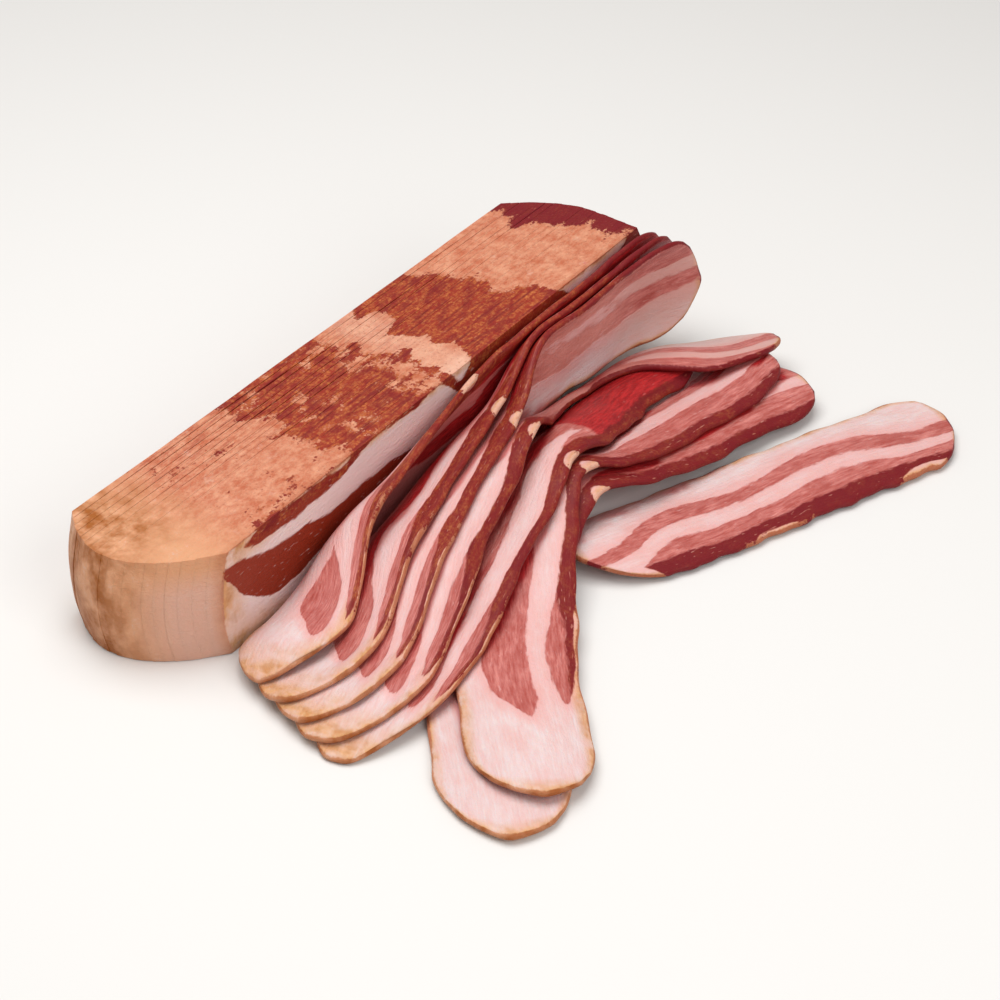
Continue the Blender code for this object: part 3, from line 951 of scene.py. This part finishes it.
def extents(t, noise, rim, along, down, through_slab):
    """How much of each cause there is at a point, alone and several together."""
    # What is read, from and to which value, and the share or size at both ends of that
    # range. Places are in millimetres.
    ranges = {
        # Patterns
        "flecks": (noise.flecks, 0.68, 0.76, 1, 0.6),
        "fibre": (noise.fibre, 0.35, 0.65, 0, 1),
        "mottle": (noise.mottle, 0.35, 0.65, 0, 1),
        "speckle": (noise.speckle, 0.4, 0.6, 0, 1),
        "toasted": (noise.grain, 0.38, 0.64, 0, 1),
        "specks": (noise.grain, 0.56, 0.7, 0, 0.7),
        "lines": (noise.streak, 0.5, 0.62, 0, 0.75),
        "blotch": (noise.blots, 0.5, 0.62, 0, 0.7),
        "gold": (noise.blots, 0.48, 0.62, 0, 0.7),
        "tan": (noise.smoke, 0.38, 0.6, 0.4, 1),
        "marks": (noise.smoke, 0.38, 0.64, 0, 1),
        # In from the rim, and down from the smoked edge
        "on_rim": (rim, 0.2, 1.4, 1, 0),
        "below": (down, 4, 14, 0, 1),
        # Along the slab, from the smoked end
        "smoked_end": (along, 8, 34, 1, 0),
        "off_end": (along, 18, 40, 0, 1),
        "off_tip": (along, 25, 60, 0.1, 0.95),
        "past_tip": (along, 30, 55, 0.3, 0.65),
        "bend_from": (along, 62, 90, 0, 1),
        "off_far": (along, 120, 170, 1, 0.3),
        "pale_from": (along, 138, 146, 0, 1),
        "bend_to": (along, 145, 175, 5, 0),
        "pale_to": (along, 156, 164, 0.7, 0),
        "past_bend": (along, 168, 190, 0, 0.75),
        "in_air": (along, 175, 200, 0, 0.55),
        "far_red": (along, 226, 242, 0, 0.9),
        "short_of_end": (along, 232, 255, 1, 0),
        # Through the slab, from the lowest loose slice to the back
        "low_red": (through_slab, -25, -3, 0.95, 0.35),
        "lowest": (through_slab, -24, -20, 3.5, 0),
        "in_fan": (through_slab, -18, -17, 7, 17),
        "upright": (through_slab, -13, -11, 0, 1),
        "loose": (through_slab, -3, 1, 1, 0),
        "front_face": (through_slab, -1.64, -1.6, 0, 0.95),
        "at_front": (through_slab, -1, 8, 1, 0.35),
        "not_behind": (through_slab, 0, 2, 1, 0),
        "front_end": (through_slab, 8, 22, 0.7, 0),
        "rear": (through_slab, 12, 34, 0, 1),
        "at_back": (through_slab, 15, 60, 0, 0.9),
    }
    at = {}
    for name, (value, first, last, low, high) in ranges.items():
        at[name] = add(t, "ShaderNodeMapRange", {"Value": value, "From Min": first, "From Max": last,
                                                "To Min": low, "To Max": high})
    at = SimpleNamespace(**at)
    in_slab = add(t, "ShaderNodeMath", {0: 1.0, 1: at.loose}, operation="SUBTRACT")
    by_cut = add(t, "ShaderNodeMath", {0: 1.0, 1: at.short_of_end}, operation="SUBTRACT")
    # Smoke has tanned the fat near the rims, most at the smoked end
    tanned = add(t, "ShaderNodeMapRange", {"Value": along, "From Min": 20.0, "From Max": 60.0,
                                          "To Min": at.in_fan, "To Max": 4.0})
    tanned = add(t, "ShaderNodeMapRange", {"Value": rim, "From Min": 0.3, "From Max": tanned,
                                          "To Min": 1.0, "To Max": 0.0})
    marked = add(t, "ShaderNodeMath", {0: at.rear, 1: at.loose}, operation="MAXIMUM")

    # Several causes together
    shares = {
        "darker": (at.mottle, 0.55),
        "in_air": (at.in_air, at.upright, at.short_of_end),
        # Painted light: paler lean where the upright slices stand in the air towards the cut end
        "dried": (at.front_face, at.not_behind),
        # Painted light and shade on the slab's front face: paler fat, darker lean
        "at_cut": (by_cut, at.upright, 0.45),
        # Painted shade: darker fat at the cut end of the upright slices
        "cream": (tanned, at.tan),
        "gold": (at.gold, tanned, at.tan),
        "toasted": (at.toasted, at.speckle),
        "lines": (at.lines, at.at_back, at.off_end, at.off_far),
        "pale": (at.pale_from, at.pale_to, at.at_front),
        "marks": (at.marks, at.smoked_end, marked),
        # Painted shade: the crust of the loose slices darker red, most on the lowest
        "low_red": (at.low_red, at.loose),
        "past_tip": (at.past_tip, at.loose),
        "plain": (at.front_end, at.below, in_slab),
        "at_bend": (at.bend_from, at.bend_to, at.loose),
        "past_bend": (at.past_bend, at.upright, at.loose),
    }
    share = {}
    for name, (product, *factors) in shares.items():
        for factor in factors:
            product = add(t, "ShaderNodeMath", {0: product, 1: factor}, operation="MULTIPLY")
        share[name] = product
    share = SimpleNamespace(**share)
    not_pale = add(t, "ShaderNodeMath", {0: 1.0, 1: share.pale}, operation="SUBTRACT")
    share.past_tip = add(t, "ShaderNodeMath", {0: share.past_tip, 1: not_pale}, operation="MULTIPLY")
    share.low_red = add(t, "ShaderNodeMath", {0: share.low_red, 1: at.far_red}, operation="MAXIMUM")
    return at, share


def lean_edges(t, noise, at, depth):
    """Which points are lean, and which fat lies near the lean."""
    # Band edges wander, are ragged, and are blotchy on the crust
    inside = add(t, "ShaderNodeMath", {0: noise.wander, 1: 6.0, 2: -3.0}, operation="MULTIPLY_ADD")
    inside = add(t, "ShaderNodeMath", {0: inside, 1: depth}, operation="ADD")
    inside = add(t, "ShaderNodeMath", {0: noise.ragged, 1: 2.4, 2: inside}, operation="MULTIPLY_ADD")
    blots = add(t, "ShaderNodeMath", {0: noise.grain, 1: 7.0, 2: -9.5}, operation="MULTIPLY_ADD")
    blots = add(t, "ShaderNodeMath", {0: noise.blots, 1: 12.0, 2: blots}, operation="MULTIPLY_ADD")
    inside = add(t, "ShaderNodeMath", {0: blots, 1: at.on_rim, 2: inside}, operation="MULTIPLY_ADD")
    is_lean = add(t, "ShaderNodeMapRange", {"Value": inside, "From Min": 0.7, "From Max": 1.8},
                  interpolation_type="SMOOTHSTEP")
    # Small flecks of fat in the lean
    is_lean = add(t, "ShaderNodeMath", {0: is_lean, 1: at.flecks}, operation="MULTIPLY")
    near_lean = add(t, "ShaderNodeMapRange", {"Value": inside, "From Min": -7.0, "From Max": 0.5})
    return is_lean, near_lean


def tinted_finishes(t, at, share, near_lean):
    """The colour of each finish of meat and fat, cut or smoked."""
    pinker = add(t, "ShaderNodeMath", {0: at.fibre, 1: 0.3}, operation="MULTIPLY")
    pinker = add(t, "ShaderNodeMath", {0: at.mottle, 1: 0.3, 2: pinker}, operation="MULTIPLY_ADD")
    ruddy = add(t, "ShaderNodeMath", {0: at.speckle, 1: 0.5}, operation="MULTIPLY")
    ruddy = add(t, "ShaderNodeMath", {0: at.mottle, 1: 0.5, 2: ruddy}, operation="MULTIPLY_ADD")

    # Each finish: two colours and the share between them, then the tints laid over it
    finishes = {
        # Cut lean, pink with fibres along the slice. It is painted paler, as light, where the upright
        # slices stand in the air, and darker brown, as shade, on the slab's own front face.
        "lean": (at.fibre, "#b0544c", "#d68880", (
            (share.darker, "#a2443c"), (share.in_air, "#dc9a8e"), (share.dried, "#903018"))),
        # Cut fat, pinker near the lean, tanned and golden by the rims; painted paler, as light, on the
        # slab's front face, and darker, as shade, at the cut end of the upright slices
        "fat": (near_lean, "#e0cdcc", "#e2b2af", (
            (pinker, "#dd9c93"), (share.dried, "#f2dcd8"), (share.at_cut, "#c08878"),
            (share.cream, "#d69c60"), (share.gold, "#b47232"))),
        # Juice on lean
        # Painted shade on lean, deep red
        "red": (at.fibre, "#8a1218", "#be2226", ()),
        # Crust on lean: browned, with dark lines and blotches, painted darker red as shade on the lower
        # loose slices, and darker red towards the cut end
        "brown": (share.toasted, "#942c1a", "#c6743c", (
            (at.lines, "#701518"), (at.blotch, "#7d1a18"), (share.low_red, "#74101a"))),
        # Crust on fat: peach, with slit lines, a pale band, specks, the smoked end, its marks,
        # the loose slices' rims, and greyish pink at the end's lower front corner
        "peach": (ruddy, "#da9a7a", "#b86040", (
            (share.lines, "#9a4c3c"), (share.pale, "#eabfa8"), (at.specks, "#a5583c"),
            (at.smoked_end, "#d79b74"), (share.marks, "#a05a22"),
            (share.past_tip, "#9c5434"), (share.plain, "#d8ab9c"))),
    }
    finish = {}
    for name, (between, one, other, tints) in finishes.items():
        tinted = linear(one)
        for amount, code in ((between, other), *tints):
            tinted = add(t, "ShaderNodeMix", {0: amount, 6: tinted, 7: linear(code)}, 2, data_type="RGBA")
        finish[name] = tinted
    return SimpleNamespace(**finish)


def crust_share(t, noise, at, share, rim, down, is_lean):
    """The crust: thin over fat, and further into lean along the smoked edge."""
    thin = add(t, "ShaderNodeMath", {0: noise.grain, 1: 1.6, 2: -0.8}, operation="MULTIPLY_ADD")
    thin = add(t, "ShaderNodeMath", {0: rim, 1: thin}, operation="ADD")
    thin = add(t, "ShaderNodeMath", {0: noise.smoke, 1: -3.0, 2: thin}, operation="MULTIPLY_ADD")
    thin = add(t, "ShaderNodeMapRange", {"Value": thin, "From Min": -1.2, "From Max": -0.3,
                                        "To Min": 1.0, "To Max": 0.0}, interpolation_type="SMOOTHSTEP")
    further = add(t, "ShaderNodeMath", {0: at.lowest, 1: share.at_bend}, operation="MAXIMUM")
    deep = add(t, "ShaderNodeMath", {0: down, 1: further}, operation="SUBTRACT")
    deep = add(t, "ShaderNodeMath", {0: noise.ragged, 1: 4.0, 2: deep}, operation="MULTIPLY_ADD")
    deep = add(t, "ShaderNodeMapRange", {"Value": deep, "From Min": 6.2, "From Max": 7.8,
                                        "To Min": 1.0, "To Max": 0.0}, interpolation_type="SMOOTHSTEP")
    deep = add(t, "ShaderNodeMath", {0: deep, 1: is_lean}, operation="MULTIPLY")
    not_past = add(t, "ShaderNodeMath", {0: 1.0, 1: share.past_bend}, operation="SUBTRACT")
    deep = add(t, "ShaderNodeMath", {0: deep, 1: not_past}, operation="MULTIPLY")
    return add(t, "ShaderNodeMath", {0: thin, 1: deep}, operation="MAXIMUM")


def bacon_material():
    """Cold-smoked streaky bacon, raw: moist cut faces, and a dry browned crust at the edges.

    All patterns are laid in slab places, in millimetres, so a band goes on from slice to
    slice. Sliced with a cold knife, the faces are smooth and moist, with soft light under them.
    """
    material = bpy.data.materials.new("smoked streaky bacon")
    material.use_nodes = True
    t = material.node_tree
    t.nodes.clear()
    place = add(t, "ShaderNodeAttribute", out="Vector", attribute_name="slab")
    meat = add(t, "ShaderNodeAttribute", out="Vector", attribute_name="meat")
    depth, rim, shade_amount = add(t, "ShaderNodeSeparateXYZ", {0: meat}).node.outputs
    along, down, through_slab = add(t, "ShaderNodeSeparateXYZ", {0: place}).node.outputs

    noise = patterns(t, place)
    at, share = extents(t, noise, rim, along, down, through_slab)
    is_lean, near_lean = lean_edges(t, noise, at, depth)
    finish = tinted_finishes(t, at, share, near_lean)

    # Painted shade between slices that lie close: the lean is painted deep red and the fat a darker pink
    shade_share = add(t, "ShaderNodeMath", {0: noise.wander, 1: 0.5, 2: -0.25}, operation="MULTIPLY_ADD")
    shade_share = add(t, "ShaderNodeMath", {0: shade_share, 1: shade_amount}, operation="ADD")
    shade_share = add(t, "ShaderNodeMapRange", {"Value": shade_share, "From Min": 0.12, "From Max": 0.42},
                  interpolation_type="SMOOTHSTEP")
    shade_share = add(t, "ShaderNodeMath", {0: shade_share, 1: at.off_tip}, operation="MULTIPLY")
    shaded_colour = add(t, "ShaderNodeMix", {0: is_lean, 6: linear("#c26a66"), 7: finish.red}, 2, data_type="RGBA")
    face = add(t, "ShaderNodeMix", {0: is_lean, 6: finish.fat, 7: finish.lean}, 2, data_type="RGBA")
    face = add(t, "ShaderNodeMix", {0: shade_share, 6: face, 7: shaded_colour}, 2, data_type="RGBA")

    is_crust = crust_share(t, noise, at, share, rim, down, is_lean)
    crust = add(t, "ShaderNodeMix", {0: is_lean, 6: finish.peach, 7: finish.brown}, 2, data_type="RGBA")
    colour = add(t, "ShaderNodeMix", {0: is_crust, 6: face, 7: crust}, 2, data_type="RGBA")

    gloss = add(t, "ShaderNodeMapRange", {"Value": is_crust, "To Min": 0.34, "To Max": 0.55})
    # Fibres and grain stand out a little, and the lean lies lower than the fat
    height = add(t, "ShaderNodeMath", {0: noise.grain, 1: 0.8, 2: noise.fibre}, operation="MULTIPLY_ADD")
    height = add(t, "ShaderNodeMath", {0: is_lean, 1: -0.5, 2: height}, operation="MULTIPLY_ADD")
    relief = add(t, "ShaderNodeBump", {"Height": height, "Strength": 0.7, "Distance": 0.0005})
    shader = add(t, "ShaderNodeBsdfPrincipled", {
        "Base Color": colour, "Roughness": gloss, "Normal": relief, "Subsurface Weight": 0.16,
        "Subsurface Radius": (1.0, 0.4, 0.25), "Subsurface Scale": 0.002, "Specular IOR Level": 0.2,
        "Coat Weight": 0.08, "Coat Roughness": 0.2})
    add(t, "ShaderNodeOutputMaterial", {0: shader}, None)
    return material


def stand(name, data):
    """An object in the scene, for a mesh, a lamp or a camera."""
    thing = bpy.data.objects.new(name, data)
    bpy.context.scene.collection.objects.link(thing)
    return thing


def board_material():
    """Pale matt board, painted: an even surface that gives no clear highlight."""
    paint = bpy.data.materials.new("pale matt board")
    paint.use_nodes = True
    board = paint.node_tree.nodes["Principled BSDF"]
    board.inputs["Base Color"].default_value = linear("#e4e2df")
    board.inputs["Roughness"].default_value = 0.8
    return paint


def lay_floor():
    """The floor, just below the pile."""
    mesh = bpy.data.meshes.new("floor")
    corners = [(x * FLOOR_REACH, y * FLOOR_REACH, 0) for x, y in ((-1, -1), (1, -1), (1, 1), (-1, 1))]
    mesh.from_pydata(corners, [], [(0, 1, 2, 3)])
    mesh.materials.append(board_material())
    floor = stand("floor", mesh)
    floor.location.z = -FLOOR_BELOW


def set_light():
    """A soft room with a wide lamp overhead and a wide fill lamp in front."""
    world = bpy.data.worlds.new("soft room")
    bpy.context.scene.world = world
    world.use_nodes = True
    world.node_tree.nodes["Background"].inputs[0].default_value = (1.0, 0.98, 0.96, 1.0)
    world.node_tree.nodes["Background"].inputs[1].default_value = 0.36
    for name, (place, size, power) in LAMPS.items():
        lamp = bpy.data.lights.new(name, "AREA")
        lamp.energy = power
        lamp.size = size
        holder = stand(name, lamp)
        holder.location = place
        holder.rotation_euler = (-Vector(place)).to_track_quat("-Z", "Y").to_euler()


def set_camera(offset):
    """The photograph's camera."""
    a, e = math.radians(VIEW_AZIMUTH), math.radians(VIEW_ELEVATION)
    back = Vector((math.sin(a) * math.cos(e), -math.cos(a) * math.cos(e), math.sin(e)))
    lens = bpy.data.cameras.new("camera")
    lens.lens = VIEW_LENS
    lens.sensor_width = SENSOR_WIDTH
    camera = stand("camera", lens)
    camera.location = (Vector(AIM) - Vector(offset)) * MM + back * VIEW_DISTANCE * MM
    camera.rotation_euler = (-back).to_track_quat("-Z", "Y").to_euler()
    bpy.context.scene.camera = camera
    bpy.context.scene.view_settings.view_transform = "Standard"


def main():
    """Dress every slice of the pile and set the scene."""
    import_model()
    slab = [standing_slice(row) for row in range(SLAB_SLICES)]
    loose = loose_slices()
    settle(loose, slab)
    pieces = slab + loose
    points = np.concatenate([skin for p in pieces for skin in skins(p.grid, THICK)])
    low = points.min(axis=0)
    middle = 0.5 * (low + points.max(axis=0))
    offset = np.array([middle[0], middle[1], low[2]])
    bacon = bacon_material()
    pieces = [standing_slice(row, NUDGE_LOOKS) for row in range(SLAB_SLICES)] + loose
    for piece in pieces:
        near = [other for other in pieces if other is not piece and other.row < 2]
        mesh = slice_mesh(piece, near, offset)
        mesh.materials.append(bacon)
        thing = stand("bacon_" + piece.name, mesh)
        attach(thing, "root")
        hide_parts(piece.name)
    lay_floor()
    set_light()
    set_camera(offset)


main()
